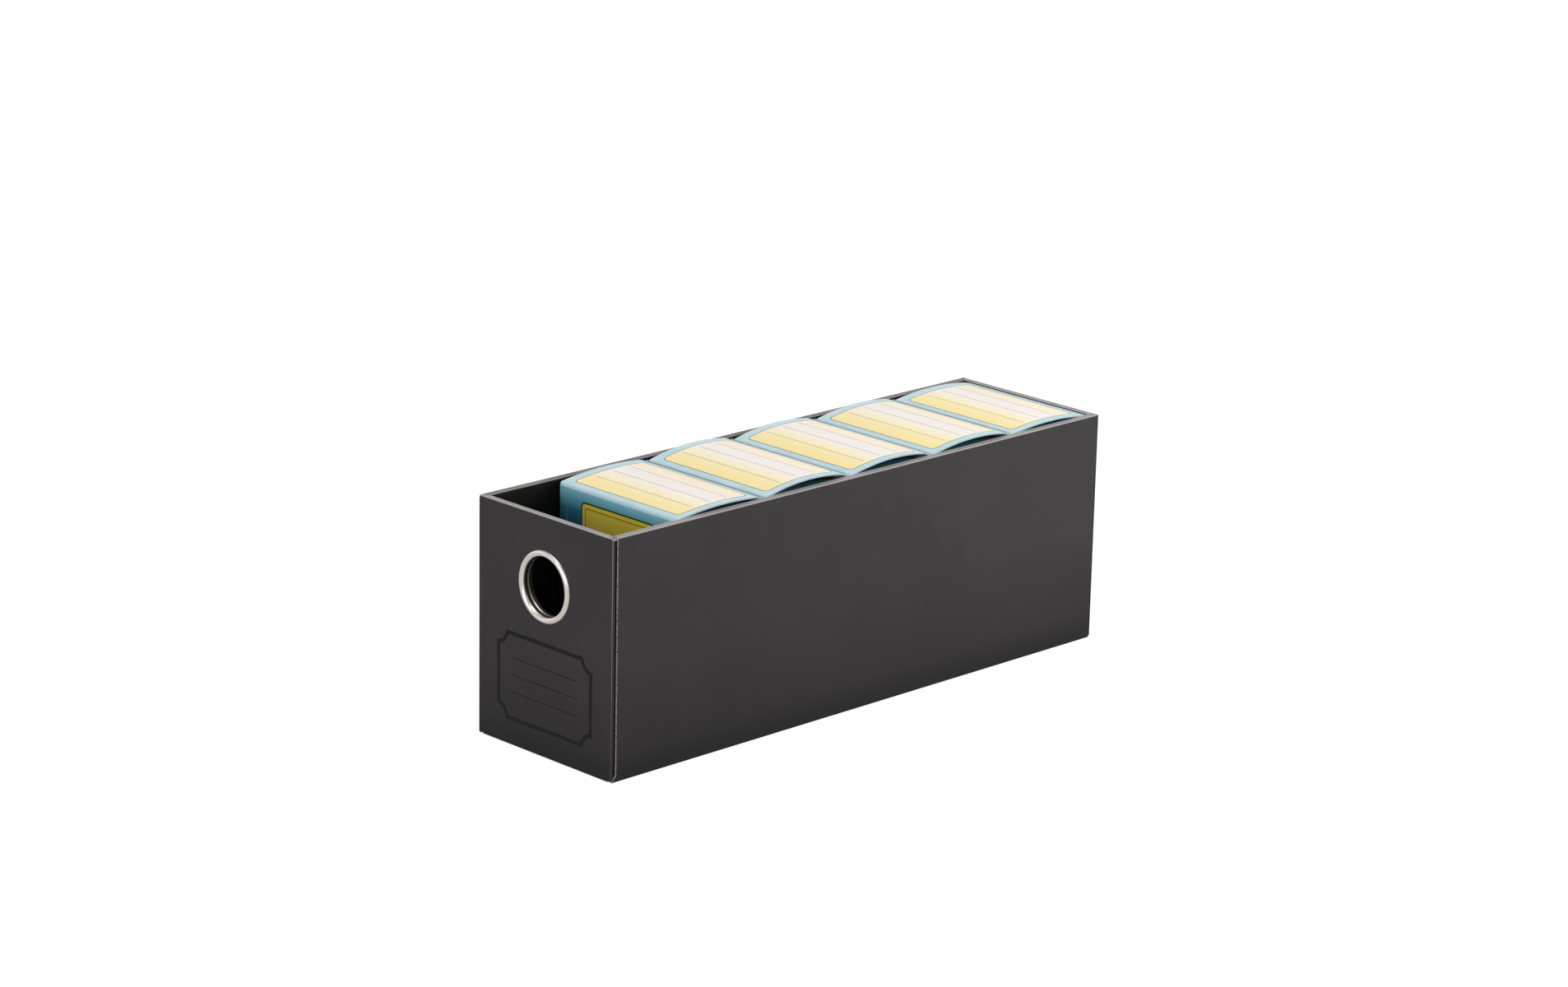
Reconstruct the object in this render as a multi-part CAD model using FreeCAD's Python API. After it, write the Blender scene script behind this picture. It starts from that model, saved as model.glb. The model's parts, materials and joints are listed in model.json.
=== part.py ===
import FreeCAD, Part
import math
import os

from FreeCAD import Vector

# Trading card storage drawer: a folded board tray with a metal finger ring, holding a row of
# tuck-top card cartons. Millimetres, +Z up, +Y to the rear. The origin is the middle of the
# tray's footprint, on the surface that it stands on.

# Tray board
board = 1.1
flap_play = 0.05
side_slack = 0.55
end_wall_slot = 1.1
fold_round = 0.8
rim_round = 0.5
foot = 3.0
corner_flap_length = 40.0
joint_play = 0.05

# Tray corners, where the side sheet's cut edge stands behind the end wall's fold
side_setback = 2.9
rear_setback = 1.2
corner_return = 1.1
mitre_gap = 0.5
mitre_rise = 3.0
rim_end_inset = 1.0
rim_end_play = 0.4

# Finger ring
ring_below_rim = 30.0
ring_outer_radius = 15.5
ring_bore_radius = 12.8
ring_metal = 0.5
ring_bulge = 1.2
ring_roll = 1.0
ring_roll_rise = 0.8
ring_edge = 0.25
ring_hole_play = 0.1
washer_radius = 15.0
washer_metal = 0.6

# Sleeved cards in one carton
card_width = 66.0
card_height = 91.0
stack_depth = 42.0
card_side_play = 2.1
card_rear_play = 0.4
card_headroom = 9.5

# Carton
carton_count = 5
carton_board = 0.6
carton_corner_round = 0.9
carton_gap = 0.6
lid_play = 0.05
lid_overhang = 0.3
lid_front_rise = 0.4
lid_fold_round = 1.2
lid_bulges = (1.75, 2.9, 2.8, 2.6, 1.7)
tuck_length = 14.0
tuck_tilt = math.radians(12.0)
tuck_play = 2.09
tuck_side_play = 0.6
tuck_round = 5.0
dust_flap_reach = 25.0
dust_flap_front_play = 3.2
dust_flap_rear_play = 6.4
dust_flap_slant = 1.0

# Row of cartons in the tray
front_bay = 34.7
left_play = 3.25
right_play = 0.55
rear_play = 0.3
stand_play = 0.1
hinge_below_rim = 0.6

# Carton sizes that follow from the cards
carton_width = card_width + 2 * (card_side_play + carton_board)
carton_height = card_height + carton_board + card_headroom
tuck_room = tuck_length * math.sin(tuck_tilt) + carton_board + tuck_play
carton_depth = 2 * carton_board + card_rear_play + stack_depth + tuck_room
carton_pitch = carton_depth + carton_gap

# Tray sizes that follow from the cartons
side_slot = board + flap_play + side_slack
side_rim = 2 * board + side_slot
end_rim = 2 * board + end_wall_slot
liner_top = 2 * board
row_depth = carton_count * carton_pitch - carton_gap
tray_width = 2 * side_rim + left_play + carton_width + right_play
tray_length = 2 * end_rim + front_bay + row_depth + rear_play
tray_height = liner_top + stand_play + carton_height + hinge_below_rim
ring_height = tray_height - ring_below_rim
mitre_slope = mitre_rise / (side_setback - mitre_gap)
half_width = tray_width / 2
half_length = tray_length / 2

# Carton levels and places
carton_base = liner_top + stand_play
lid_top = carton_base + carton_height
lid_front_top = lid_top + lid_front_rise
carton_wall_top = lid_front_top - lid_fold_round
dust_flap_top = carton_wall_top + lid_play + carton_board
carton_x = half_width - side_rim - right_play - carton_width / 2
lid_reach = carton_depth - carton_board - lid_play
ring_hole_radius = ring_bore_radius + ring_metal + ring_hole_play


def flat_xy(z):
    return lambda u, v: Vector(u, v, z)


def flat_xz(y):
    return lambda u, v: Vector(u, y, v)


def flat_yz(x):
    return lambda u, v: Vector(x, u, v)


def outline(corners, place):
    """Face inside a closed outline of (u, v, radius) corners, each rounded by its radius."""
    starts, middles, ends = [], [], []
    for i, (u, v, radius) in enumerate(corners):
        corner = Vector(u, v, 0)
        back = Vector(*corners[i - 1][:2], 0) - corner
        ahead = Vector(*corners[(i + 1) % len(corners)][:2], 0) - corner
        half_angle = back.getAngle(ahead) / 2
        back.normalize()
        ahead.normalize()
        cut = radius / math.tan(half_angle)
        starts.append(corner + back * cut)
        ends.append(corner + ahead * cut)
        inward = back + ahead
        if radius:
            inward.normalize()
        middles.append(corner + inward * (radius / math.sin(half_angle) - radius))
    edges = []
    for i, (u, v, radius) in enumerate(corners):
        following = starts[(i + 1) % len(corners)]
        start, middle, end, after = (place(p.x, p.y) for p in (starts[i], middles[i], ends[i], following))
        if radius:
            edges.append(Part.Arc(start, middle, end).toShape())
        if end.distanceToPoint(after) > 1e-6:
            edges.append(Part.LineSegment(end, after).toShape())
    return Part.Face(Part.Wire(edges))


def block(x0, x1, y0, y1, z0, z1):
    return Part.makeBox(x1 - x0, y1 - y0, z1 - z0, Vector(x0, y0, z0))


def mirrored(shape, normal):
    return shape.mirror(Vector(0, 0, 0), normal)


def rounded_plan(x0, x1, y0, y1, radius, z0, z1):
    """Upright prism over a rectangle with rounded corners."""
    corners = [(x0, y0, radius), (x1, y0, radius), (x1, y1, radius), (x0, y1, radius)]
    return outline(corners, flat_xy(z0)).extrude(Vector(0, 0, z1 - z0))


# The tray is one folded blank with rolled-over double walls, cut here at its creases.


def bottom_panel():
    x = half_width - foot
    y = half_length - foot
    return block(-x, x, -y, y, 0, board)


def floor_liner():
    x = half_width - board - joint_play
    y = half_length - board - joint_play
    return block(-x, x, -y, y, board, liner_top)


def double_wall(outer, rim, place, run):
    """Foot, outer sheet, rolled rim and inner sheet in one profile, extruded along run."""
    inner = outer - rim
    corners = [
        (outer - foot, 0, 0),
        (outer, 0, fold_round),
        (outer, tray_height, rim_round),
        (inner, tray_height, rim_round),
        (inner, liner_top, 0),
        (inner + board, liner_top, 0),
        (inner + board, tray_height - board, 0),
        (outer - board, tray_height - board, 0),
        (outer - board, board, 0),
        (outer - foot, board, 0),
    ]
    return outline(corners, place).extrude(run)


def side_wall():
    """Right wall. Its outer sheet ends behind the end walls' folds, with mitred lower corners."""
    toe = half_length - mitre_gap
    front_heel = half_length - side_setback
    rear_heel = half_length - rear_setback
    rear_rise = (rear_setback - mitre_gap) * mitre_slope
    wall = double_wall(half_width, side_rim, flat_xz(-toe), Vector(0, 2 * toe, 0))
    edge = [
        (-toe, 0, 0),
        (toe, 0, 0),
        (rear_heel, rear_rise, 0),
        (rear_heel, tray_height, 0),
        (-front_heel, tray_height, 0),
        (-front_heel, mitre_rise, 0),
    ]
    wall = wall.common(outline(edge, flat_yz(0)).extrude(Vector(half_width, 0, 0)))
    rim_step = half_width - board - side_slot
    rear_mitre = [
        (rim_step, half_length - end_rim, 0),
        (half_width - rim_end_inset + rim_end_play, half_length, 0),
        (rim_step, half_length, 0),
    ]
    wall = wall.cut(outline(rear_mitre, flat_xy(tray_height - board)).extrude(Vector(0, 0, board)))
    inner_end = half_length - end_rim - joint_play
    ends = block(0, rim_step, -half_length, -inner_end, board, tray_height)
    feet = block(0, half_width - board, -half_length, foot - half_length, 0, board)
    for cut in (ends, feet):
        wall = wall.cut(cut).cut(mirrored(cut, Vector(0, 1, 0)))
    return wall.removeSplitter()


def corner_flap():
    """Front right flap, folded from the end wall into the slot between the side sheets."""
    outer = half_width - board - flap_play
    front = corner_return - half_length + joint_play
    top = tray_height - board - joint_play
    flap = [
        (front, liner_top, 0),
        (front + corner_flap_length, liner_top, 0),
        (front + corner_flap_length, top, foot),
        (front, top, 0),
    ]
    return outline(flap, flat_yz(outer - board)).extrude(Vector(board, 0, 0))


def end_wall(rim_end_depth):
    """Wall across the rear. Its outer sheet folds round both corners, and its rim ends on a slant."""
    wall = double_wall(half_length, end_rim, flat_yz(-half_width), Vector(tray_width, 0, 0))
    behind = half_length - corner_return
    slot_side = half_width - board - side_slot
    inner_ends = block(slot_side, half_width, half_length - end_rim, behind, 0, tray_height - board)
    rim_outer = half_width - rim_end_inset
    rim_inner = slot_side - rim_end_play
    rim_start = rim_outer + (rim_inner - rim_outer) * rim_end_depth / end_rim
    slant = [
        (rim_start, half_length - rim_end_depth, 0),
        (half_width, half_length - rim_end_depth, 0),
        (half_width, half_length - end_rim, 0),
        (rim_inner, half_length - end_rim, 0),
    ]
    rim_end = outline(slant, flat_xy(tray_height - board)).extrude(Vector(0, 0, board))
    low = mitre_gap * mitre_slope
    high = low + foot * mitre_slope
    mitre = [
        (half_length, 0, 0),
        (half_length, low, 0),
        (half_length - foot, high, 0),
        (half_length - foot, 0, 0),
    ]
    mitre_cut = outline(mitre, flat_yz(half_width - foot)).extrude(Vector(foot, 0, 0))
    across = Vector(1, 0, 0)
    for cut in (inner_ends, rim_end, mitre_cut):
        wall = wall.cut(cut).cut(mirrored(cut, across))
    plan = rounded_plan(-half_width, half_width, -half_length, half_length, fold_round, 0, tray_height)
    return wall.common(plan).removeSplitter()


def finger_hole():
    start = Vector(0, -half_length - end_rim, ring_height)
    return Part.makeCylinder(ring_hole_radius, 3 * end_rim, start, Vector(0, 1, 0))


def turned(edges):
    """Solid turned round the finger hole's axis from (radius, depth behind the front face)."""
    return Part.Face(Part.Wire(edges)).revolve(Vector(0, 0, ring_height), Vector(0, 1, 0), 360)


def ring_point(radius, depth):
    return Vector(radius, depth - half_length, ring_height)


def ring_line(*points):
    places = [ring_point(*p) for p in points]
    return [Part.LineSegment(a, b).toShape() for a, b in zip(places, places[1:])]


def ring_arc(*points):
    return [Part.Arc(*[ring_point(*p) for p in points]).toShape()]


def finger_ring():
    """Domed flange, barrel through the wall, and the end rolled out over the washer."""
    barrel = ring_bore_radius + ring_metal
    back = end_rim + washer_metal
    roll = barrel + ring_roll
    crown = (ring_outer_radius + ring_bore_radius) / 2
    roll_middle = (ring_bore_radius + roll) / 2
    edges = ring_line((barrel, 0), (ring_outer_radius, 0), (ring_outer_radius, -ring_edge))
    edges += ring_arc((ring_outer_radius, -ring_edge), (crown, -ring_bulge), (ring_bore_radius, 0))
    edges += ring_line((ring_bore_radius, 0), (ring_bore_radius, back))
    edges += ring_arc((ring_bore_radius, back), (roll_middle, back + ring_roll_rise), (roll, back))
    edges += ring_line((roll, back), (barrel, back), (barrel, 0))
    return turned(edges)


def finger_ring_washer():
    """Flat ring behind the wall, with its outer edge rounded by its own thickness."""
    back = end_rim + washer_metal
    shoulder = washer_radius - washer_metal
    eighth = washer_metal * math.sqrt(0.5)
    edges = ring_line((ring_hole_radius, end_rim), (washer_radius, end_rim))
    edges += ring_arc((washer_radius, end_rim), (shoulder + eighth, end_rim + eighth), (shoulder, back))
    edges += ring_line((shoulder, back), (ring_hole_radius, back), (ring_hole_radius, end_rim))
    return turned(edges)


# Each carton is placed by its front face, and its lid turns on its upper rear edge.


def carton_front(number):
    return half_length - end_rim - rear_play - row_depth + number * carton_pitch


def carton_body(front):
    x0 = carton_x - carton_width / 2
    x1 = carton_x + carton_width / 2
    rear = front + carton_depth
    t = carton_board
    rear_panel_top = lid_top - carton_board - lid_play
    inner_round = carton_corner_round - t
    shell = rounded_plan(x0, x1, front, rear, carton_corner_round, carton_base, rear_panel_top)
    room = rounded_plan(x0 + t, x1 - t, front + t, rear - t, inner_round, carton_base + t, lid_top)
    above = block(x0, x1, front, rear - carton_corner_round, carton_wall_top, lid_top)
    return shell.cut(room).cut(above)


def lid_arc(bulge):
    """Radius, centre and end angles of the lid's arched top, seen along the hinge."""
    reach = lid_reach - lid_fold_round
    chord = math.hypot(reach, lid_front_rise)
    rise = 2 * math.atan(2 * bulge / chord)
    tilt = -math.atan2(lid_front_rise, reach)
    radius = chord / (2 * math.sin(rise))
    rear = math.pi / 2 - rise + tilt
    centre = (-radius * math.cos(rear), -radius * math.sin(rear))
    return radius, centre, rear, rear + 2 * rise


def lid(front, bulge):
    """Arched panel, rounded front fold and tuck flap that leans in behind the front panel."""
    rear = front + carton_depth
    radius, centre, rear_angle, front_angle = lid_arc(bulge)

    def arch(angle, depth):
        r = radius - depth
        return (rear + centre[0] + r * math.cos(angle), lid_top + centre[1] + r * math.sin(angle))

    middle = (rear_angle + front_angle) / 2
    tuck_angle = math.pi + tuck_tilt
    fold_middle = (front_angle + tuck_angle) / 2
    fold_y, fold_z = arch(front_angle, lid_fold_round)

    def fold(angle, depth):
        r = lid_fold_round - depth
        return (fold_y + r * math.cos(angle), fold_z + r * math.sin(angle))

    def tuck_end(depth):
        y, z = fold(tuck_angle, depth)
        return (y + tuck_length * math.sin(tuck_tilt), z - tuck_length * math.cos(tuck_tilt))

    x0 = carton_x - carton_width / 2 - lid_overhang
    place = flat_yz(x0)

    def arc(curve, first, mid, last, depth):
        return Part.Arc(*[place(*curve(a, depth)) for a in (first, mid, last)]).toShape()

    def line(a, b):
        return Part.LineSegment(place(*a), place(*b)).toShape()

    t = carton_board
    edges = [
        arc(arch, rear_angle, middle, front_angle, 0),
        arc(fold, front_angle, fold_middle, tuck_angle, 0),
        line(fold(tuck_angle, 0), tuck_end(0)),
        line(tuck_end(0), tuck_end(t)),
        line(tuck_end(t), fold(tuck_angle, t)),
        arc(fold, tuck_angle, fold_middle, front_angle, t),
        arc(arch, front_angle, middle, rear_angle, t),
        line(arch(rear_angle, t), arch(rear_angle, 0)),
    ]
    panel = Part.Face(Part.Wire(edges)).extrude(Vector(carton_width + 2 * lid_overhang, 0, 0))
    half_tuck = carton_width / 2 - carton_board - tuck_side_play
    tip = tuck_end(t)[1] - carton_board
    notch_top = carton_wall_top + lid_play
    keep = [
        (x0, notch_top, 0),
        (carton_x - half_tuck, notch_top, 0),
        (carton_x - half_tuck, tip, tuck_round),
        (carton_x + half_tuck, tip, tuck_round),
        (carton_x + half_tuck, notch_top, 0),
        (2 * carton_x - x0, notch_top, 0),
        (2 * carton_x - x0, lid_top + tuck_length, 0),
        (x0, lid_top + tuck_length, 0),
    ]
    return panel.common(outline(keep, flat_xz(front)).extrude(Vector(0, carton_depth, 0)))


def dust_flap(front, side):
    """Side flap that lies under the lid; its rear edge stands off and slants so that it clears the low rear of the lid."""
    edge = carton_x + side * carton_width / 2
    rear = front + carton_depth - carton_board - dust_flap_rear_play
    start = front + carton_board + lid_fold_round + dust_flap_front_play
    tip = edge - side * dust_flap_reach
    corners = [
        (edge, start, 0),
        (tip, start, tuck_round),
        (tip, rear - dust_flap_slant * dust_flap_reach, tuck_round),
        (edge, rear, 0),
    ]
    return outline(corners, flat_xy(dust_flap_top - carton_board)).extrude(Vector(0, 0, carton_board))


def card_stack(front):
    rear = front + carton_depth - carton_board - card_rear_play
    x = card_width / 2
    base = carton_base + carton_board
    return block(carton_x - x, carton_x + x, rear - stack_depth, rear, base, base + card_height)


def tray_parts():
    right = side_wall()
    flap = corner_flap()
    front = mirrored(end_wall(0), Vector(0, 1, 0))
    rear = end_wall(corner_return)
    x_mirror = Vector(1, 0, 0)
    y_mirror = Vector(0, 1, 0)
    return {
        "bottom_panel": bottom_panel(),
        "floor_liner": floor_liner(),
        "right_wall": right,
        "left_wall": mirrored(right, x_mirror),
        "front_wall": front.cut(finger_hole()),
        "rear_wall": rear,
        "front_right_corner_flap": flap,
        "front_left_corner_flap": mirrored(flap, x_mirror),
        "rear_right_corner_flap": mirrored(flap, y_mirror),
        "rear_left_corner_flap": mirrored(mirrored(flap, x_mirror), y_mirror),
        "finger_ring": finger_ring(),
        "finger_ring_washer": finger_ring_washer(),
    }


def carton_parts(number):
    front = carton_front(number)
    name = f"carton_{number + 1}"
    return {
        f"{name}_body": carton_body(front),
        f"{name}_lid": lid(front, lid_bulges[number % len(lid_bulges)]),
        f"{name}_left_dust_flap": dust_flap(front, -1),
        f"{name}_right_dust_flap": dust_flap(front, 1),
        f"{name}_card_stack": card_stack(front),
    }


parts = tray_parts()
for number in range(carton_count):
    parts.update(carton_parts(number))

os.makedirs("parts", exist_ok=True)
for name, shape in parts.items():
    shape.exportStep(f"parts/{name}.step")
    print(name, shape.isValid(), len(shape.Solids), round(shape.Volume, 2))
print("tray", round(tray_width, 3), round(tray_length, 3), round(tray_height, 3))
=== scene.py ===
import json
import math
import random

import bpy
import numpy as np
from mathutils import Matrix, Vector


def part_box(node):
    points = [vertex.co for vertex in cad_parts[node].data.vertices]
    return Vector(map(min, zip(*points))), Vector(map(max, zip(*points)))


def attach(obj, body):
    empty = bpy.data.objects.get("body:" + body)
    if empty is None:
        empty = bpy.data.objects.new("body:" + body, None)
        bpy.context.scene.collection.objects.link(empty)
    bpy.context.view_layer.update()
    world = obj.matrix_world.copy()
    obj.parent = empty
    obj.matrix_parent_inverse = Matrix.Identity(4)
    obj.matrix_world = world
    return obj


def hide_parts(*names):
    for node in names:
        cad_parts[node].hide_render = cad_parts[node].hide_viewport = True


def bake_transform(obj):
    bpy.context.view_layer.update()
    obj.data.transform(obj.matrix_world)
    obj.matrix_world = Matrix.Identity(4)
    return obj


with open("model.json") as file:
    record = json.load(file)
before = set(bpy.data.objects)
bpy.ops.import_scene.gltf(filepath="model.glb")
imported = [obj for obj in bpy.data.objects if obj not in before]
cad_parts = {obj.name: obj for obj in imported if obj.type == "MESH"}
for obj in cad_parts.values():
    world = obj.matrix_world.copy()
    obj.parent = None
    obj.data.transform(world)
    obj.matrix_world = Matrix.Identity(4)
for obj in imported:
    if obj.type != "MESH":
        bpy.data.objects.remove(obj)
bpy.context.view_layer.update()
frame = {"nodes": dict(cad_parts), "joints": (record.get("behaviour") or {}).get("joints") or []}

# Trading card storage drawer. Lengths are in millimetres until a mesh or a lamp is made.
MM = 0.001
SEED = 20

# Tray
TRAY_HALF_WIDTH = 41.5
TRAY_HALF_LENGTH = 145.002
TRAY_HEIGHT = 104.0
TRAY_BOARD = 1.1
SIDE_RIM_START = 2.9
SIDE_SHEET_END = TRAY_HALF_LENGTH - SIDE_RIM_START

# Finger ring
RING_HEIGHT = 74.0
RING_OUTER = 15.5
RING_BORE = 12.8
RING_METAL = 0.5
RING_BULGE = 1.2
RING_ROLL = 1.0
RING_ROLL_RISE = 0.8
RING_EDGE = 0.25
RING_BEAD = 2.3
WASHER_RADIUS = 15.0
WASHER_METAL = 0.6
WASHER_BORE = 13.4
END_RIM = 3.3
SIDE_RIM = 3.9
RING_STEPS = 144
ROLL_SPLITS = 9

# Carton
CARTONS = 5
BOARD = 0.6
CORNER_ROUND = 0.9
PANEL_CROWN = 0.12
BASE_LIFT = 0.05
LID_FRONT_RISE = 0.4
LID_FOLD = 1.2
LID_BULGES = (1.75, 2.9, 2.8, 2.6, 1.7)
LID_SPRING = (1.0, 1.2, 1.2, 1.2, 0.2)
LID_SWELL = (0.4, 0.5, 0.5, 0.5, 0.3)
LID_PLAY = 0.05
LID_CREASE = 0.7
LID_SETTLE = 0.12
CREASE_BOARD = 0.25
TUCK_LENGTH = 14.0
TUCK_TILT = math.radians(12.0)
TUCK_SIDE_PLAY = 0.6
TUCK_ROUND = 5.0
DUST_FLAP_SAG = 0.5
PRINT_SPAN = 400.0

# Label printed on the front
LABEL_FRAME = (0.0, 30.5)
LABEL_FRAME_HALF = (29.5, 19.5)
LABEL_SCOOP = 5.5
LABEL_LINE = 1.8
LABEL_RULES = (38.5, 31.0, 23.5)
LABEL_RULE_HALF = (20, 0.2)
INK = 0.03

# Cards
CARDS = 66
CARD_SIZE = (63.0, 88.0, 0.31)
CARD_ROUND = 3.0
CARD_LIFT = 0.5
CARD_DEPTH = 0.14
FILM_SIZE = (66.0, 90.6)
FILM_ROUND = 0.6
FILM = 0.06


def linear(*rgb):
    """Colour as written in sRGB, 0 to 255, made linear for a shader."""
    values = [c / 255 for c in rgb]
    out = [v / 12.92 if v <= 0.04045 else ((v + 0.055) / 1.055) ** 2.4 for v in values]
    return (*out, 1.0)


def shade(colour, share):
    """The colour with its light scaled by share."""
    return (*[c * share for c in colour[:3]], 1)


# Materials


class Number:
    """A number that varies over a surface, written with ordinary sums."""

    def __init__(self, tree, socket):
        self.tree = tree
        self.socket = socket

    def make(self, operation, *others):
        node = self.tree.nodes.new("ShaderNodeMath")
        node.operation = operation
        for slot, value in zip(node.inputs, (self, *others)):
            if isinstance(value, Number):
                self.tree.links.new(value.socket, slot)
            else:
                slot.default_value = value
        return Number(self.tree, node.outputs[0])

    def __add__(self, other):
        return self.make("ADD", other)

    def __sub__(self, other):
        return self.make("SUBTRACT", other)

    def __mul__(self, other):
        return self.make("MULTIPLY", other)

    def size(self):
        return self.make("ABSOLUTE")

    def most(self, other):
        return self.make("MAXIMUM", other)

    def least(self, other):
        return self.make("MINIMUM", other)

    def below(self, other):
        return self.make("LESS_THAN", other)

    def ramp(self, start, end):
        """0 at start, 1 at end, and smooth between."""
        node = self.tree.nodes.new("ShaderNodeMapRange")
        node.interpolation_type = "SMOOTHSTEP"
        self.tree.links.new(self.socket, node.inputs["Value"])
        node.inputs["From Min"].default_value = start
        node.inputs["From Max"].default_value = end
        return Number(self.tree, node.outputs["Result"])


class Surface:
    """A principled material, with helpers for its patterns."""

    def __init__(self, name, colour, roughness, **shader):
        self.material = bpy.data.materials.new(name)
        self.material.use_nodes = True
        self.tree = self.material.node_tree
        self.shader = self.tree.nodes["Principled BSDF"]
        self.shader.inputs["Base Color"].default_value = colour
        self.shader.inputs["Roughness"].default_value = roughness
        for socket, value in shader.items():
            self.shader.inputs[socket.replace("_", " ")].default_value = value
        self.height = None

    def new(self, kind, **inputs):
        node = self.tree.nodes.new(kind)
        for socket, value in inputs.items():
            node.inputs[socket].default_value = value
        return node

    def place(self):
        """The piece's own x, y and z at rest, in millimetres."""
        coordinates = self.new("ShaderNodeTexCoord")
        parts = self.new("ShaderNodeSeparateXYZ")
        self.tree.links.new(coordinates.outputs["Object"], parts.inputs[0])
        return [Number(self.tree, parts.outputs[i]) * (1 / MM) for i in range(3)]

    def print_place(self):
        """Millimetres over the flat printed sheet, from its UV map."""
        uv = self.new("ShaderNodeUVMap")
        uv.uv_map = "print"
        parts = self.new("ShaderNodeSeparateXYZ")
        self.tree.links.new(uv.outputs[0], parts.inputs[0])
        return [(Number(self.tree, parts.outputs[i]) - 0.5) * PRINT_SPAN for i in range(2)]

    def noise(self, pitch, detail=2.0, stretch=(1, 1, 1)):
        """Cloudy noise, 0 to 1, whose blotches are about pitch millimetres apart."""
        coordinates = self.new("ShaderNodeTexCoord")
        mapping = self.new("ShaderNodeMapping")
        mapping.inputs["Scale"].default_value = stretch
        noise = self.new("ShaderNodeTexNoise", Scale=1 / (pitch * MM), Detail=detail)
        self.tree.links.new(coordinates.outputs["Object"], mapping.inputs[0])
        self.tree.links.new(mapping.outputs[0], noise.inputs["Vector"])
        return Number(self.tree, noise.outputs["Fac"])

    def mix(self, share, first, second):
        """A colour that goes from first to second as share goes from 0 to 1."""
        node = self.new("ShaderNodeMix")
        node.data_type = "RGBA"
        self.tree.links.new(share.socket, node.inputs[0])
        for slot, value in ((node.inputs[6], first), (node.inputs[7], second)):
            if isinstance(value, bpy.types.NodeSocket):
                self.tree.links.new(value, slot)
            else:
                slot.default_value = value
        return node.outputs[2]

    def colours(self, share, *stops):
        """A run of (place, colour) stops."""
        node = self.new("ShaderNodeValToRGB")
        ramp = node.color_ramp
        while len(ramp.elements) < len(stops):
            ramp.elements.new(0.5)
        for element, (at, colour) in zip(ramp.elements, stops):
            element.position = at
            element.color = colour
        self.tree.links.new(share.socket, node.inputs[0])
        return node.outputs[0]

    def wear(self, socket, value):
        """Feeds a shader socket from a pattern."""
        source = value.socket if isinstance(value, Number) else value
        self.tree.links.new(source, self.shader.inputs[socket])

    def raise_by(self, height, depth):
        """Relief of that depth in millimetres, where height goes from 0 to 1."""
        bump = self.new("ShaderNodeBump", Distance=depth * MM)
        self.tree.links.new(height.socket, bump.inputs["Height"])
        if self.height is not None:
            self.tree.links.new(self.height, bump.inputs["Normal"])
        self.height = bump.outputs[0]
        self.tree.links.new(self.height, self.shader.inputs["Normal"])


def rounded_box(x, y, centre, half, radius):
    """Distance outside a rounded rectangle, negative inside it."""
    across = (x - centre[0]).size() - (half[0] - radius)
    along = (y - centre[1]).size() - (half[1] - radius)
    outside = (across.most(0) * across.most(0) + along.most(0) * along.most(0)).make("SQRT")
    return outside + across.most(along).least(0) - radius


def band(distance, inner, outer):
    """1 where the distance lies between inner and outer."""
    middle = (inner + outer) / 2
    return (distance - middle).size().below((outer - inner) / 2)


BLACK = linear(54, 51, 52)
# Darker black for the inside, as painted shade.
INSIDE_SHADE_BLACK = linear(20, 19, 19)
# Painted sheen on the rims: a light grey for the rims that catch the light, a dimmer grey for the left rim
# in shade.
RIM_PAINTED_SHEEN = linear(162, 156, 156)
RIM_DIM_PAINTED_SHEEN = linear(112, 107, 106)
GLOSS = 0.2
# Heights over which painted shade darkens the laminate towards the bottom and towards its foot.
SHADE_FADE_HEIGHT = 62.0
FOOT_SHADE_HEIGHT = 16.0
# Width and soft edge of the painted highlight along a corner's fold.
FOLD_LINE = 0.16
FOLD_LINE_EDGE = 0.12


def laminate(name, colour=BLACK, roughness=0.42, gloss=GLOSS):
    """Black film-laminated paper: satin, with a fine tooth and faint clouds, and painted shade that darkens
    it towards the bottom.
    """
    surface = Surface(name, colour, roughness, Specular_IOR_Level=gloss)
    clouds = surface.noise(26, 3)
    grain = surface.noise(0.5, 2)
    cloudy = surface.mix(clouds.ramp(0.3, 0.7), shade(colour, 0.95), shade(colour, 1.06))
    z = surface.place()[2]
    # Painted shade: the colour darkens towards the bottom, most over the lowest part near the floor.
    bottom_shade = z.ramp(SHADE_FADE_HEIGHT, 0) * 0.55 + z.ramp(FOOT_SHADE_HEIGHT, 0) * 0.45
    surface.wear("Base Color", surface.mix(bottom_shade, cloudy, shade(colour, 0.36)))
    rough = clouds.ramp(0.25, 0.75) * 0.06 + surface.noise(3, 2) * 0.03 + (roughness - 0.045)
    surface.wear("Roughness", rough)
    surface.raise_by(surface.noise(45, 1), 0.07)
    surface.raise_by(grain, 0.012)
    return surface


def rim_laminate(name, grey, across, width):
    """The laminate on a rolled rim, in a light grey that is a painted sheen, with a painted highlight along
    the two folds.
    """
    surface = laminate(name, grey, 0.4)
    rubbed = surface.noise(6, 4, (1, 0.3, 1)).ramp(0.35, 0.7)
    plain = surface.shader.inputs["Base Color"].links[0].from_socket
    middle = (TRAY_HALF_WIDTH, TRAY_HALF_LENGTH)[across] - width / 2
    from_middle = (surface.place()[across].size() - middle).size()
    # Painted highlight: darker in the rim's middle, paler over the two folds.
    fold_highlighted = surface.mix(from_middle.ramp(width * 0.12, width * 0.3), shade(grey, 0.6), plain)
    surface.wear("Base Color", surface.mix(rubbed * 0.25, fold_highlighted, linear(176, 171, 170)))
    return surface


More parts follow.
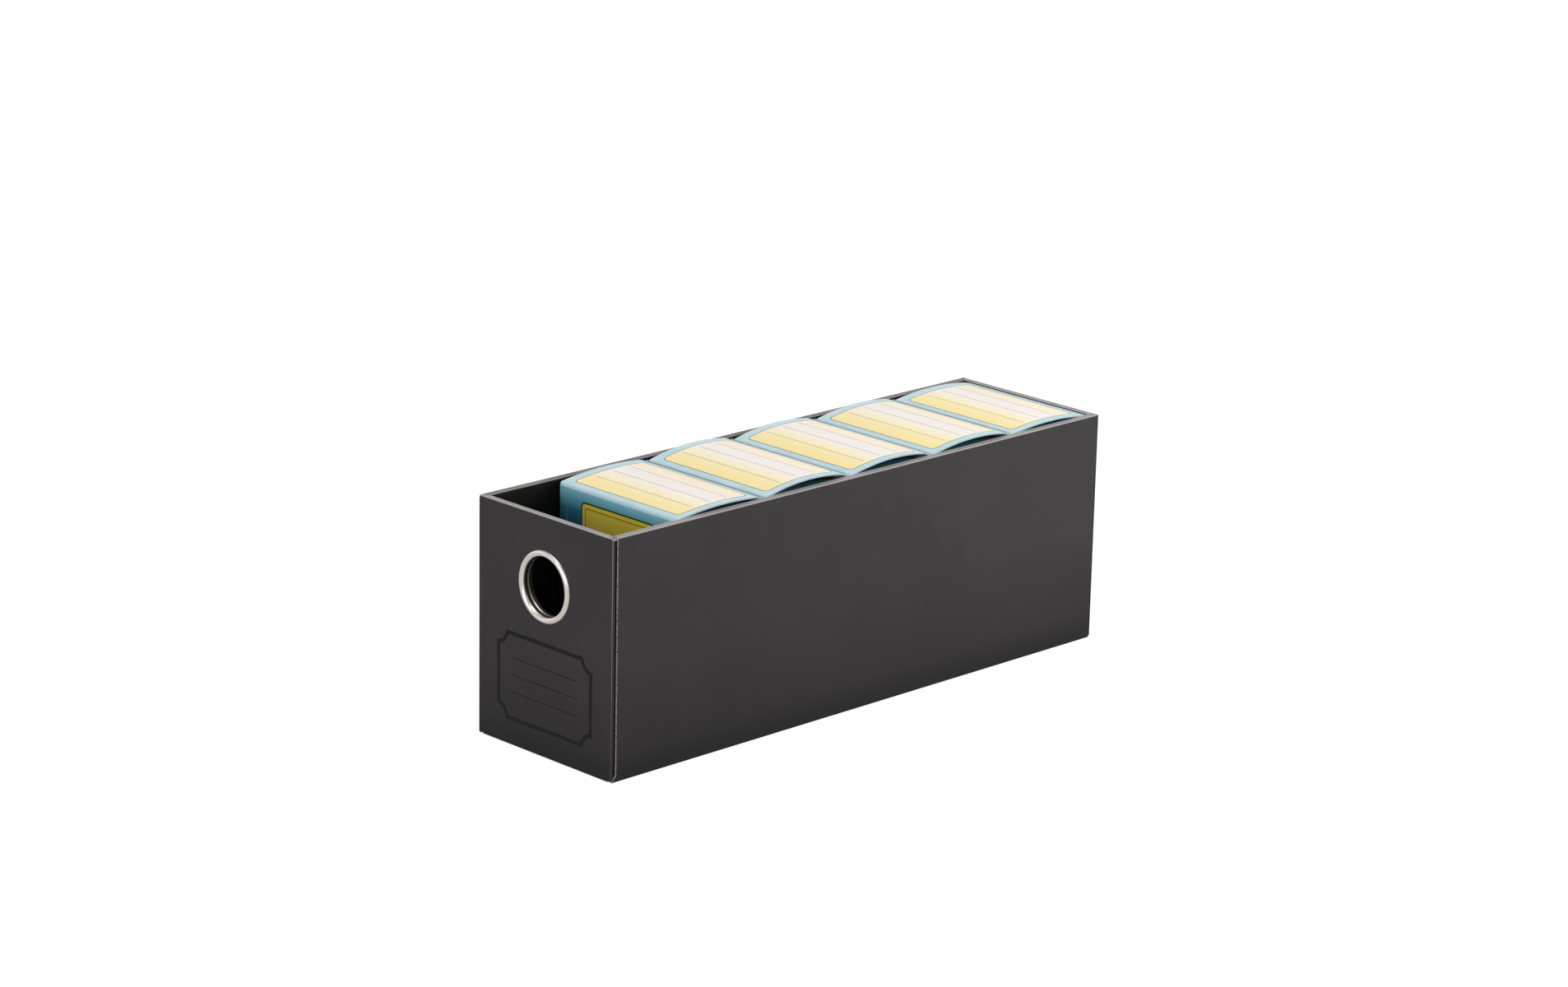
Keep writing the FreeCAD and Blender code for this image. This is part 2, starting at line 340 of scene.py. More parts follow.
def corner_laminate():
    """The laminate round an end wall's corner, with a thin painted highlight along the fold that fades
    towards the bottom.
    """
    surface = laminate("laminate_corner_fold", BLACK, 0.38)
    plain = surface.shader.inputs["Base Color"].links[0].from_socket
    y, z = surface.place()[1:]
    behind = y.size() * -1 + TRAY_HALF_LENGTH
    fold_highlight = behind.ramp(FOLD_LINE + FOLD_LINE_EDGE, FOLD_LINE)
    broken = surface.noise(5, 3, (1, 1, 0.3)).ramp(0.2, 0.5) * 0.3 + 0.7
    # Painted highlight, broken by noise and fading towards the bottom.
    share = fold_highlight * broken * (z.ramp(10, 120) * 0.75 + 0.25)
    surface.wear("Base Color", surface.mix(share, plain, linear(150, 145, 145)))
    return surface


def shaded_lining():
    """Matt black paper inside the tray, darker than the outer laminate as painted shade for the inside and
    the corner recesses.
    """
    surface = laminate("shaded_lining", INSIDE_SHADE_BLACK, 0.6, 0.12)
    surface.raise_by(surface.noise(1.4, 3), 0.02)
    return surface


def dark_ink():
    """Matt black ink over the laminate."""
    surface = Surface("label_ink", linear(24, 23, 24), 0.75, IOR=1.3)
    surface.wear("Base Color", surface.mix(surface.noise(1.5, 3), linear(20, 19, 20), linear(29, 28, 29)))
    surface.raise_by(surface.noise(0.5, 2), 0.01)
    return surface


def raw_board():
    """Cut edge of grey board: pale layered fibre with nicks from the knife."""
    surface = Surface("board_cut_edge", linear(205, 204, 200), 0.9)
    nicks = surface.noise(0.8, 2).ramp(0.35, 0.5)
    x = surface.place()[0]
    film = (x.size() - (TRAY_HALF_WIDTH - 0.6)).size().ramp(0.42, 0.48)
    fibre = surface.noise(0.35, 3)
    pale = surface.mix(fibre, linear(214, 212, 208), linear(246, 245, 242))
    board = surface.mix(nicks, linear(150, 148, 145), pale)
    surface.wear("Base Color", surface.mix(film, board, linear(34, 33, 33)))
    surface.raise_by(fibre, 0.08)
    return surface


def nickel():
    """Bright nickel plate over pressed steel, with faint turning marks, and painted shade inside the barrel
    behind its bead.
    """
    surface = Surface("nickel_plate", linear(240, 234, 224), 0.16, Metallic=0.72)
    x, y, z = surface.place()
    radius = ((x * x) + (z - RING_HEIGHT) * (z - RING_HEIGHT)).make("SQRT")
    marks = (radius * 8.0 + surface.noise(4, 1) * 1.5).make("SINE") * 0.5 + 0.5
    haze = surface.noise(2.5, 3)
    depth = y + TRAY_HALF_LENGTH
    bright = (depth - RING_BEAD).size().ramp(0.45, 0.2)
    # Painted shade: behind the bead the barrel is coloured dark brown, for the dark inside of the tray that
    # it mirrors.
    barrel = depth.ramp(0.1, 0.5) * (radius * -1 + RING_BORE + 0.15).ramp(-0.1, 0.1) * (bright * -1 + 1)
    shaded_barrel_colour = surface.mix(haze, linear(46, 40, 34), linear(74, 66, 56))
    plate = surface.mix(marks * 0.3, linear(240, 234, 228), linear(206, 197, 192))
    surface.wear("Base Color", surface.mix(barrel, plate, shaded_barrel_colour))
    surface.wear("Roughness", haze.ramp(0.3, 0.8) * 0.1 + barrel * 0.3 + 0.13)
    surface.raise_by(marks, 0.0008)
    surface.raise_by(surface.noise(9, 1), 0.003)
    return surface


def cut_card():
    """Cut edge of thin carton card."""
    surface = Surface("card_cut_edge", linear(214, 216, 212), 0.85)
    fibre = surface.noise(0.25, 2)
    surface.wear("Base Color", surface.mix(fibre, linear(150, 182, 188), linear(196, 212, 214)))
    surface.raise_by(fibre, 0.04)
    return surface


def card_inside():
    """Unprinted inside of the carton card: off-white, with short fibres."""
    surface = Surface("card_inside", linear(216, 213, 204), 0.9)
    fibre = surface.noise(1.2, 4, (1, 0.35, 1))
    pulp = surface.mix(fibre.ramp(0.2, 0.8), linear(209, 205, 196), linear(221, 218, 210))
    surface.wear("Base Color", pulp)
    surface.raise_by(surface.noise(0.4, 3), 0.02)
    return surface


TEAL = linear(158, 200, 212)
DEEP_TEAL = linear(96, 158, 176)


def add_varnish(surface):
    """Satin print varnish with the slight orange peel of rolled-on varnish."""
    surface.wear("Roughness", surface.noise(7, 3) * 0.1 + 0.36)
    surface.raise_by(surface.noise(30, 1), 0.1)
    surface.raise_by(surface.noise(0.8, 2), 0.008)


# Writing panel printed on the lid, in millimetres from the hinge and from the lid's middle
LABEL_START = 5.8
LABEL_LENGTH = 39.1
LABEL_WIDTH = 63.6
LABEL_CENTRE = LABEL_START + LABEL_LENGTH / 2
LABEL_HALF = (LABEL_WIDTH / 2, LABEL_LENGTH / 2)
LABEL_ROW = LABEL_LENGTH / 4
LABEL_SHIFT = 0.6
RULE = 0.65


def lid_print():
    """Teal lid with a cream writing panel and three ruled lines, and painted shade along its crease."""
    surface = Surface("carton_lid_print", TEAL, 0.3)
    x, s = surface.print_place()
    x = x - LABEL_SHIFT
    panel = rounded_box(x, s, (0, LABEL_CENTRE), LABEL_HALF, 2.2)
    share = (s - (LABEL_CENTRE - LABEL_HALF[1])) * (1 / (2 * LABEL_HALF[1]))
    cream = surface.colours(
        share,
        (0.0, linear(246, 229, 194)),
        (0.16, linear(245, 233, 211)),
        (0.34, linear(241, 233, 230)),
        (0.5, linear(241, 237, 234)),
        (0.64, linear(247, 237, 205)),
        (0.8, linear(248, 230, 170)),
        (1.0, linear(247, 226, 156)),
    )
    rules = (s - LABEL_CENTRE).size().ramp(RULE, 0)
    for middle in (LABEL_CENTRE - LABEL_ROW, LABEL_CENTRE + LABEL_ROW):
        rules = rules.most((s - middle).size().ramp(RULE, 0))
    rules = rules * x.size().below(LABEL_HALF[0] - 2.4) * 0.6
    speckle = surface.noise(0.7, 3).ramp(0.35, 0.7)
    cream = surface.mix(speckle * 0.22, cream, linear(238, 220, 168))
    written = surface.mix(rules, cream, linear(150, 142, 128))
    blotch = surface.noise(9, 2).ramp(0.3, 0.7)
    teal = surface.mix(blotch, linear(183, 211, 218), linear(193, 218, 224))
    # Painted shade: the teal is darker over the first few millimetres from the crease, where the lid turns
    # away from the light.
    shaded_ground = surface.mix(s.ramp(1.0, 7.0), linear(150, 184, 190), teal)
    outlined = surface.mix(band(panel, -0.1, 0.4), shaded_ground, linear(112, 126, 120))
    surface.wear("Base Color", surface.mix(panel.below(-0.1), outlined, written))
    add_varnish(surface)
    return surface


# Print of the carton's body, in millimetres from the middle of its front and from the floor
KEYLINE_INSET = 4.0
KEYLINE_MIDDLE = 53.0
KEYLINE_HALF_HEIGHT = 45.0
PLAQUE_CENTRE = (0.8, 78.0)
PLAQUE_HALF = (22.0, 20.0)
PLAQUE_ROUND = 2.0


def body_print(panels):
    """Teal carton print: paler to the top, partly as print and partly as painted shade down into the
    drawer, with a painted highlight under the lid's fold; a keyline on every panel and a yellow plaque in
    front.
    """
    surface = Surface("carton_body_print", DEEP_TEAL, 0.3)
    u, z = surface.print_place()
    # Partly print, partly painted shade: the teal darkens steeply downwards, and the palest stop, just
    # under the fold, is a painted highlight.
    shaded_ground = surface.colours(
        (z - 30) * (1 / 74),
        (0.0, linear(10, 28, 38)),
        (0.55, linear(12, 38, 50)),
        (0.72, linear(24, 70, 88)),
        (0.86, linear(44, 106, 126)),
        (0.94, linear(104, 174, 192)),
        (0.985, linear(138, 200, 214)),
    )
    keyline = None
    for centre, half in panels:
        half_size = (half - KEYLINE_INSET, KEYLINE_HALF_HEIGHT)
        line = band(rounded_box(u, z, (centre, KEYLINE_MIDDLE), half_size, 3.0), -0.35, 0.35)
        keyline = line if keyline is None else keyline.most(line)
    shaded_ground = surface.mix(keyline * 0.4, shaded_ground, linear(96, 150, 166))
    plaque = rounded_box(u, z, PLAQUE_CENTRE, PLAQUE_HALF, PLAQUE_ROUND)
    yellow = surface.colours(
        (z - 58) * (1 / 40),
        (0.0, linear(196, 186, 130)),
        (0.5, linear(206, 190, 88)),
        (1.0, linear(222, 200, 62)),
    )
    inner = band(plaque, -2.3, -1.8)
    yellow = surface.mix(inner, yellow, linear(128, 122, 52))
    shaded_ground = surface.mix(band(plaque, -0.1, 0.6), shaded_ground, linear(34, 44, 34))
    surface.wear("Base Color", surface.mix(plaque.below(-0.1), shaded_ground, yellow))
    add_varnish(surface)
    return surface


def plain_print(name, darker, lighter):
    """Plain teal print of the dust flaps and of the lid's crease, darkened as painted shade."""
    surface = Surface(name, darker, 0.3)
    surface.wear("Base Color", surface.mix(surface.noise(9, 2).ramp(0.3, 0.7), darker, lighter))
    add_varnish(surface)
    return surface


def card_paper():
    """Edge of a playing card: white, in cloudy shades of white."""
    surface = Surface("card_paper", linear(226, 224, 218), 0.7)
    pulp = surface.mix(surface.noise(2.0, 3), linear(206, 203, 196), linear(236, 235, 230))
    surface.wear("Base Color", pulp)
    return surface


def sleeve_back():
    """Matt coloured film on a sleeve's back."""
    surface = Surface("sleeve_back_film", linear(46, 92, 108), 0.45)
    scuffs = surface.noise(1.6, 3, (1, 1, 0.15))
    surface.wear("Base Color", surface.mix(scuffs, linear(38, 80, 96), linear(62, 112, 128)))
    return surface


def sleeve_front():
    """Clear film on a sleeve's front."""
    surface = Surface("sleeve_clear_film", linear(236, 240, 242), 0.18, Alpha=0.28)
    surface.raise_by(surface.noise(14, 1), 0.3)
    return surface


LAMINATE = laminate("laminate")
RIMS = {
    "right_wall": rim_laminate("laminate_right_rim", RIM_PAINTED_SHEEN, 0, SIDE_RIM),
    "left_wall": rim_laminate("laminate_left_rim", RIM_DIM_PAINTED_SHEEN, 0, SIDE_RIM),
    "front_wall": rim_laminate("laminate_front_rim", RIM_PAINTED_SHEEN, 1, END_RIM),
    "rear_wall": rim_laminate("laminate_rear_rim", RIM_PAINTED_SHEEN, 1, END_RIM),
}
CORNER_FOLD = corner_laminate()
INSIDE_SHADED_LINING = shaded_lining()
LABEL_INK = dark_ink()
RAW_BOARD = raw_board()
NICKEL = nickel()
CARD_EDGE = cut_card()
CARD_INSIDE = card_inside()
LID_PRINT = lid_print()
# Teal print darkened as painted shade: on the flaps for the gap under the lid, on the crease where it turns
# away from the light.
SHADED_FLAP_PRINT = plain_print("carton_flap_print", linear(46, 92, 104), linear(56, 104, 116))
SHADED_CREASE_PRINT = plain_print("carton_crease_print", linear(142, 178, 186), linear(152, 188, 194))
CARD_PAPER = card_paper()
SLEEVE_BACK = sleeve_back()
SLEEVE_FRONT = sleeve_front()


# Meshes


def add_piece(name, points, faces, surfaces, kinds, body, smooth=True, prints=None):
    """A mesh piece from millimetre points.

    kinds gives each face's surface, and prints gives each face corner's place in the print.
    """
    mesh = bpy.data.meshes.new(name)
    mesh.from_pydata([Vector(p) * MM for p in points], [], faces)
    for surface in surfaces:
        mesh.materials.append(surface.material)
    mesh.polygons.foreach_set("material_index", kinds)
    if prints is not None:
        layer = mesh.uv_layers.new(name="print")
        flat = [c / PRINT_SPAN + 0.5 for face in prints for place in face for c in place]
        layer.uv.foreach_set("vector", flat)
    if smooth:
        mesh.shade_smooth()
        mesh.set_sharp_from_angle(angle=math.radians(35))
    piece = bpy.data.objects.new(name, mesh)
    bpy.context.scene.collection.objects.link(piece)
    if body:
        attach(piece, body)
    return piece


def thick_sheet(name, outer, inner, there, flat, surfaces, body, slot, wrap=False):
    """A sheet of board between two grids of points. there marks the grid cells that have board."""
    rows, columns = outer.shape[:2]
    cells_across = columns if wrap else columns - 1
    index = {}
    points, prints, faces, kinds = [], [], [], []

    def corner(side, i, j):
        key = (side, i, j % columns)
        if key not in index:
            index[key] = len(points)
            points.append((outer, inner)[side][i, j % columns])
        return index[key]

    def add_face(kind, *corners):
        faces.append([corner(*c) for c in corners])
        prints.append([flat[i, j] for side, i, j in corners])
        kinds.append(kind)

    def present(i, j):
        if wrap:
            j %= columns
        return 0 <= i < rows - 1 and 0 <= j < cells_across and there[i, j]

    for i in range(rows - 1):
        for j in range(cells_across):
            if not present(i, j):
                continue
            loop = ((i, j), (i, j + 1), (i + 1, j + 1), (i + 1, j))
            add_face(0, *[(0, *c) for c in loop])
            add_face(1, *[(1, *c) for c in reversed(loop)])
            sides = (((i - 1, j), 0, 1), ((i, j + 1), 1, 2), ((i + 1, j), 2, 3), ((i, j - 1), 3, 0))
            for neighbour, a, b in sides:
                if not present(*neighbour):
                    add_face(2, (0, *loop[b]), (0, *loop[a]), (1, *loop[a]), (1, *loop[b]))
    return add_piece(name, points, faces, surfaces, kinds, body, prints=prints)


def ring_mesh(name, profile, body, splits=0):
    """A profile of (radius, depth) turned round the finger hole, split into petals behind the washer."""
    back = END_RIM + WASHER_METAL
    points = []
    for step in range(RING_STEPS):
        angle = math.tau * step / RING_STEPS
        phase = (splits * step / RING_STEPS) % 1 if splits else 0.5
        split = math.exp(-((min(phase, 1 - phase) / 0.035) ** 2)) if splits else 0
        for radius, depth in profile:
            if depth > back + 1e-6:
                depth = back + (depth - back) * (1 - 0.85 * split)
            x = radius * math.cos(angle)
            z = RING_HEIGHT + radius * math.sin(angle)
            points.append((x, depth - TRAY_HALF_LENGTH, z))
    count = len(profile)
    faces = []
    for step in range(RING_STEPS):
        after = (step + 1) % RING_STEPS
        for k in range(count):
            k2 = (k + 1) % count
            faces.append([step * count + k, step * count + k2, after * count + k2, after * count + k])
    return add_piece(name, points, faces, [NICKEL], [0] * len(faces), body)


def arc_points(start, middle, end, steps):
    """Points on the circle through three (a, b) points, from start to end."""
    (ax, ay), (bx, by), (cx, cy) = start, middle, end
    d = 2 * (ax * (by - cy) + bx * (cy - ay) + cx * (ay - by))
    ux = ((ax**2 + ay**2) * (by - cy) + (bx**2 + by**2) * (cy - ay) + (cx**2 + cy**2) * (ay - by)) / d
    uy = ((ax**2 + ay**2) * (cx - bx) + (bx**2 + by**2) * (ax - cx) + (cx**2 + cy**2) * (bx - ax)) / d
    first = math.atan2(ay - uy, ax - ux)
    mid = math.atan2(by - uy, bx - ux)
    last = math.atan2(cy - uy, cx - ux)
    radius = math.hypot(ax - ux, ay - uy)
    turn = (last - first) % math.tau
    if (mid - first) % math.tau > turn:
        turn -= math.tau
    angles = [first + turn * k / steps for k in range(steps + 1)]
    return [(ux + radius * math.cos(a), uy + radius * math.sin(a)) for a in angles]


def finger_ring():
    """The pressed ring with its rolled end, and its back washer."""
    barrel = RING_BORE + RING_METAL
    back = END_RIM + WASHER_METAL
    roll = barrel + RING_ROLL
    crown = (RING_OUTER + RING_BORE) / 2
    profile = [(barrel, 0), (RING_OUTER, 0)]
    profile += arc_points((RING_OUTER, -RING_EDGE), (crown, -RING_BULGE), (RING_BORE, 0), 16)
    profile += [(RING_BORE, 1.0), (RING_BORE, RING_BEAD - 0.4), (RING_BORE + 0.14, RING_BEAD - 0.1)]
    profile += [(RING_BORE + 0.14, RING_BEAD + 0.1), (RING_BORE, RING_BEAD + 0.4)]
    roll_top = ((RING_BORE + roll) / 2, back + RING_ROLL_RISE)
    profile += arc_points((RING_BORE, back), roll_top, (roll, back), 10)
    profile += [(barrel, back)]
    ring = ring_mesh("finger_ring_plated", profile, "tray", ROLL_SPLITS)
    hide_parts("finger_ring")
    shoulder = WASHER_RADIUS - WASHER_METAL
    eighth = WASHER_METAL * math.sqrt(0.5)
    edge = arc_points((WASHER_RADIUS, END_RIM), (shoulder + eighth, END_RIM + eighth), (shoulder, back), 6)
    profile = [(WASHER_BORE, END_RIM), *edge, (WASHER_BORE, back)]
    washer = ring_mesh("finger_ring_washer_plated", profile, "tray")
    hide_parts("finger_ring_washer")


def sides_of(node):
    """Low and high corner of a node's box at rest, in millimetres."""
    low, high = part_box(node)
    return [c / MM for c in low], [c / MM for c in high]


def perimeter(half_width, depth, radius, inset, crown):
    """Points round a carton from the middle of its rear, and lengths from the middle of its front."""
    w, d = half_width, depth
    points, lengths = [], []
    run, side = 2 * (w - radius), d - 2 * radius
    at = -(run + side + radius * math.pi)

    def straight(start, end, outward, length, steps, first=0.0, last=1.0):
        nonlocal at
        for k in range(steps):
            t = first + (last - first) * k / steps
            bow = crown * math.sin(math.pi * t)
            base = [a + (b - a) * t for a, b in zip(start, end)]
            points.append((base[0] + outward[0] * (bow - inset), base[1] + outward[1] * (bow - inset)))
            lengths.append(at + length * (k / steps) * (last - first))
        at += length * (last - first)

    def turn(cx, cy, start_angle, steps=4):
        nonlocal at
        for k in range(steps):
            a = math.radians(start_angle + 90 * k / steps)
            points.append((cx + (radius - inset) * math.cos(a), cy + (radius - inset) * math.sin(a)))
            lengths.append(at + radius * math.pi / 2 * k / steps)
        at += radius * math.pi / 2

    straight((w - radius, d), (-w + radius, d), (0, 1), run, 8, 0.5, 1.0)
    turn(-w + radius, d - radius, 90)
    straight((-w, d - radius), (-w, radius), (-1, 0), side, 12)
    turn(-w + radius, radius, 180)
    straight((-w + radius, 0), (w - radius, 0), (0, -1), run, 16)
    turn(w - radius, radius, 270)
    straight((w, radius), (w, d - radius), (1, 0), side, 12)
    turn(w - radius, d - radius, 0)
    straight((w - radius, d), (-w + radius, d), (0, 1), run, 8, 0.0, 0.5)
    return points, [*lengths, at]


def print_panels(half_width, depth):
    """(centre, half length) of the panels along the carton's print: front, sides, rear from both ends."""
    corner = CORNER_ROUND * math.pi / 2
    run, side = half_width - CORNER_ROUND, depth / 2 - CORNER_ROUND
    to_side = run + corner + side
    to_rear = to_side + side + corner + run
    return [(0.0, run), (to_side, side), (-to_side, side), (to_rear, run), (-to_rear, run)]


def carton_shell(number, surface):
    """Four walls of thin card with slightly crowned panels, and the rear panel's rise to the hinge."""
    low, high = sides_of(f"carton_{number}_body")
    half_width, depth = (high[0] - low[0]) / 2, high[1] - low[1]
    centre = (low[0] + high[0]) / 2
    hinge_z = hinge_of(number)[2]
    wall_top = hinge_z + LID_FRONT_RISE - LID_FOLD
    rear_top = hinge_z - BOARD - LID_PLAY
    levels = [low[2] + t * (wall_top - low[2]) for t in np.linspace(0, 1, 12)] + [rear_top]
    grids = []
    for inset in (0.0, BOARD):
        rows = []
        for level in levels:
            share = min(1.0, (level - low[2]) / (wall_top - low[2]))
            crown = PANEL_CROWN * math.sin(math.pi * share)
            ring, lengths = perimeter(half_width, depth, CORNER_ROUND, inset, crown)
            rows.append([(centre + x, low[1] + y, level) for x, y in ring])
        grids.append(np.array(rows))
    columns = len(lengths) - 1
    flat = np.array([[(length, level) for length in lengths] for level in levels])
    there = np.ones((len(levels) - 1, columns), bool)
    top_ys = grids[0][-1][:, 1]
    for j in range(columns):
        pair = (top_ys[j], top_ys[(j + 1) % columns])
        there[-1, j] = min(pair) > high[1] - CORNER_ROUND - 0.01
    name = f"carton_{number}_shell"
    body = f"carton_{number}"
    surfaces = [surface, CARD_INSIDE, CARD_EDGE]
    shell = thick_sheet(name, *grids, there, flat, surfaces, body, "carton_card", wrap=True)
    base = f"carton_{number}_base"
    ring = [(x, y) for x, y, z in grids[1][0]]
    add_floor(base, ring, low[2], low[2] + BOARD, body)
    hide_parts(f"carton_{number}_body")
    return shell


def add_floor(name, ring, bottom, top, body):
    """Bottom panel of a carton."""
    count = len(ring)
    points = [(x, y, bottom + BASE_LIFT) for x, y in ring] + [(x, y, top) for x, y in ring]
    faces = [list(range(count))[::-1], list(range(count, 2 * count))]
    faces += [[k, (k + 1) % count, count + (k + 1) % count, count + k] for k in range(count)]
    kinds = [0, 1] + [2] * count
    add_piece(name, points, faces, [SHADED_FLAP_PRINT, CARD_INSIDE, CARD_EDGE], kinds, body)


def hinge_of(number):
    """Place of a carton's lid hinge, in millimetres."""
    for joint in frame["joints"]:
        if joint["name"] == f"carton_{number}_lid_hinge":
            return [c / MM for c in joint["pos_m"]]


def carton_lid(number):
    """Arched lid, its front fold and its tuck flap, in one sheet."""
    low, high = sides_of(f"carton_{number}_lid")
    rear, top = hinge_of(number)[1:]
    half = (high[0] - low[0]) / 2
    centre_x = (low[0] + high[0]) / 2
    body_low, body_high = sides_of(f"carton_{number}_body")
    depth = body_high[1] - body_low[1]
    bulge = LID_BULGES[number - 1]
    reach = depth - BOARD - LID_PLAY - LID_FOLD
    chord = math.hypot(reach, LID_FRONT_RISE)
    rise = 2 * math.atan(2 * bulge / chord)
    tilt = -math.atan2(LID_FRONT_RISE, reach)
    radius = chord / (2 * math.sin(rise))
    rear_angle = math.pi / 2 - rise + tilt
    front_angle = rear_angle + 2 * rise
    circle = (-radius * math.cos(rear_angle), -radius * math.sin(rear_angle))
    tuck_angle = math.pi + TUCK_TILT

    def arch(angle, inset):
        """The circular arch, sprung up close behind its crease and eased towards the front."""
        r = radius - inset
        t = (angle - rear_angle) / (2 * rise)
        spring = LID_SPRING[number - 1] * (1 - t) * (1 - 2 * t) * min(1, t / 0.07) ** 0.7
        lift = spring + LID_SWELL[number - 1] * 4 * t * (1 - t)
        return (rear + circle[0] + r * math.cos(angle), top + circle[1] + r * math.sin(angle) + lift)

    fold_y, fold_z = arch(front_angle, LID_FOLD)

    def fold(angle, inset):
        r = LID_FOLD - inset
        return (fold_y + r * math.cos(angle), fold_z + r * math.sin(angle))

    def tuck(length, inset):
        y, z = fold(tuck_angle, inset)
        return (y + length * math.sin(TUCK_TILT), z - length * math.cos(TUCK_TILT))

    half_tuck = (body_high[0] - body_low[0]) / 2 - BOARD - TUCK_SIDE_PLAY
    notch = top + LID_FRONT_RISE - LID_FOLD + LID_PLAY
    start = rear_angle + LID_CREASE / radius
    rows = []
    for angle in np.linspace(start, front_angle, 30):
        rows.append(((angle - rear_angle) * radius, arch(angle, 0), arch(angle, BOARD), half_tuck))
    length = rows[-1][0]
    for angle in np.linspace(front_angle, tuck_angle, 9)[1:]:
        run = length + (angle - front_angle) * LID_FOLD
        rows.append((run, fold(angle, 0), fold(angle, BOARD), half_tuck))
    length = rows[-1][0]
    for share in (0.15, 0.3, 0.45, 0.6, 0.68, 0.76, 0.84, 0.9, 0.95, 0.985, 1.0):
        run = TUCK_LENGTH * share
        into = max(0.0, run - (TUCK_LENGTH - TUCK_ROUND))
        narrow = TUCK_ROUND - math.sqrt(max(0.0, TUCK_ROUND**2 - into**2))
        rows.append((length + run, tuck(run, 0), tuck(run, BOARD), half_tuck - narrow))
    inner_columns = np.linspace(-1, 1, 25)
    outer, inner, flat = [], [], []
    for run, (y, z), (y2, z2), wide in rows:
        xs = [-half, *(inner_columns * wide), half]
        across = [1 - (x / half) ** 2 for x in xs]
        settle = LID_SETTLE * math.sin(math.pi * min(1, run / 49))
        outer.append([(centre_x + x, y, z + settle * a) for x, a in zip(xs, across)])
        inner.append([(centre_x + x, y2, z2 + settle * a) for x, a in zip(xs, across)])
        flat.append([(x, run) for x in xs])
    outer, inner, flat = np.array(outer), np.array(inner), np.array(flat)
    there = np.ones((len(rows) - 1, outer.shape[1] - 1), bool)
    for i in range(len(rows) - 1):
        if rows[i + 1][1][1] < notch:
            there[i, 0] = there[i, -1] = False
    name = f"carton_{number}_arched_lid"
    body = f"carton_{number}_lid_panel"
    surfaces = [LID_PRINT, CARD_INSIDE, CARD_EDGE]
    lid = thick_sheet(name, outer, inner, there, flat, surfaces, body, "carton_card")
    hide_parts(f"carton_{number}_lid")
    return lid


def hinge_crease(number):
    """Thin scored strip that joins the rear panel to the lid."""
    low, high = sides_of(f"carton_{number}_body")
    rear, top = hinge_of(number)[1:]
    wall_top = top - BOARD - LID_PLAY
    bulge = LID_BULGES[number - 1]
    slope = 4 * bulge / (high[1] - low[1])
    lid_start = (rear - LID_CREASE, top + slope * LID_CREASE + LID_SPRING[number - 1])
    outside = [
        (rear - 0.02, wall_top),
        (rear - 0.02, wall_top + 0.25),
        (rear - 0.06, wall_top + 0.5),
        (rear - 0.22, top + 0.25 * LID_SPRING[number - 1]),
        (rear - 0.45, top + 0.7 * (lid_start[1] - top)),
        lid_start,
    ]
    half = (high[0] - low[0]) / 2 - CORNER_ROUND
    centre = (low[0] + high[0]) / 2
    xs = np.linspace(centre - half, centre + half, 13)
    outer = np.array([[(x, y, z) for x in xs] for y, z in outside])
    inner = np.array([[(x, y - CREASE_BOARD, z - 0.1) for x in xs] for y, z in outside])
    flat = np.array([[(x - centre, k * 0.3) for x in xs] for k in range(len(outside))])
    outer, inner, flat = outer[:, ::-1], inner[:, ::-1], flat[:, ::-1]
    there = np.ones((len(outside) - 1, len(xs) - 1), bool)
    surfaces = [SHADED_CREASE_PRINT, CARD_INSIDE, CARD_EDGE]
    name = f"carton_{number}_hinge_crease"
    crease = thick_sheet(name, outer, inner, there, flat, surfaces, None, "carton_card")
    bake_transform(crease)


def dust_flap(number, side, label):
    """Side flap under the lid, with a rounded end and a slanted rear edge."""
    low, high = sides_of(f"carton_{number}_{label}_dust_flap")
    edge = high[0] if side > 0 else low[0]
    reach = high[0] - low[0]
    start, rear = low[1], high[1]
    thickness = high[2] - low[2]
    rows = []
    for share in (0, 0.01, 0.03, 0.1, 0.2, 0.3, 0.4, 0.5, 0.6, 0.7, 0.8, 0.86, 0.91, 0.95, 0.98, 1.0):
        across = reach * share
        into = max(0.0, across - (reach - TUCK_ROUND))
        narrow = TUCK_ROUND - math.sqrt(max(0.0, TUCK_ROUND**2 - into**2))
        y0 = start + narrow
        y1 = rear - across - narrow * 0.45
        drop = thickness * 0.5 * (1 - math.sqrt(max(0.0, 1 - (1 - min(1, across / 0.5)) ** 2)))
        sag = -DUST_FLAP_SAG * share**2
        rows.append((across, y0, y1, drop, sag))
    outer, inner, flat = [], [], []
    for across, y0, y1, drop, sag in rows:
        x = edge - side * across
        ys = np.linspace(y0, y1, 9)
        outer.append([(x, y, high[2] - drop + sag) for y in ys])
        inner.append([(x, y, low[2] + sag) for y in ys])
        flat.append([(across, y - start) for y in ys])
    outer, inner, flat = np.array(outer), np.array(inner), np.array(flat)
    if side > 0:
        outer, inner, flat = outer[:, ::-1], inner[:, ::-1], flat[:, ::-1]
    there = np.ones((len(rows) - 1, 8), bool)
    name = f"carton_{number}_{label}_creased_flap"
    body = f"carton_{number}_{label}_flap"
    surfaces = [SHADED_FLAP_PRINT, CARD_INSIDE, CARD_EDGE]
    flap = thick_sheet(name, outer, inner, there, flat, surfaces, body, "carton_card")
    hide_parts(f"carton_{number}_{label}_dust_flap")


def rounded_outline(half_width, half_height, radius, steps=4):
    """Points round a rounded rectangle."""
    points = []
    for sx, sz, start in ((1, 1, 0), (-1, 1, 90), (-1, -1, 180), (1, -1, 270)):
        for k in range(steps + 1):
            a = math.radians(start + 90 * k / steps)
            x = sx * (half_width - radius) + radius * math.cos(a)
            points.append((x, sz * (half_height - radius) + radius * math.sin(a)))
    return points


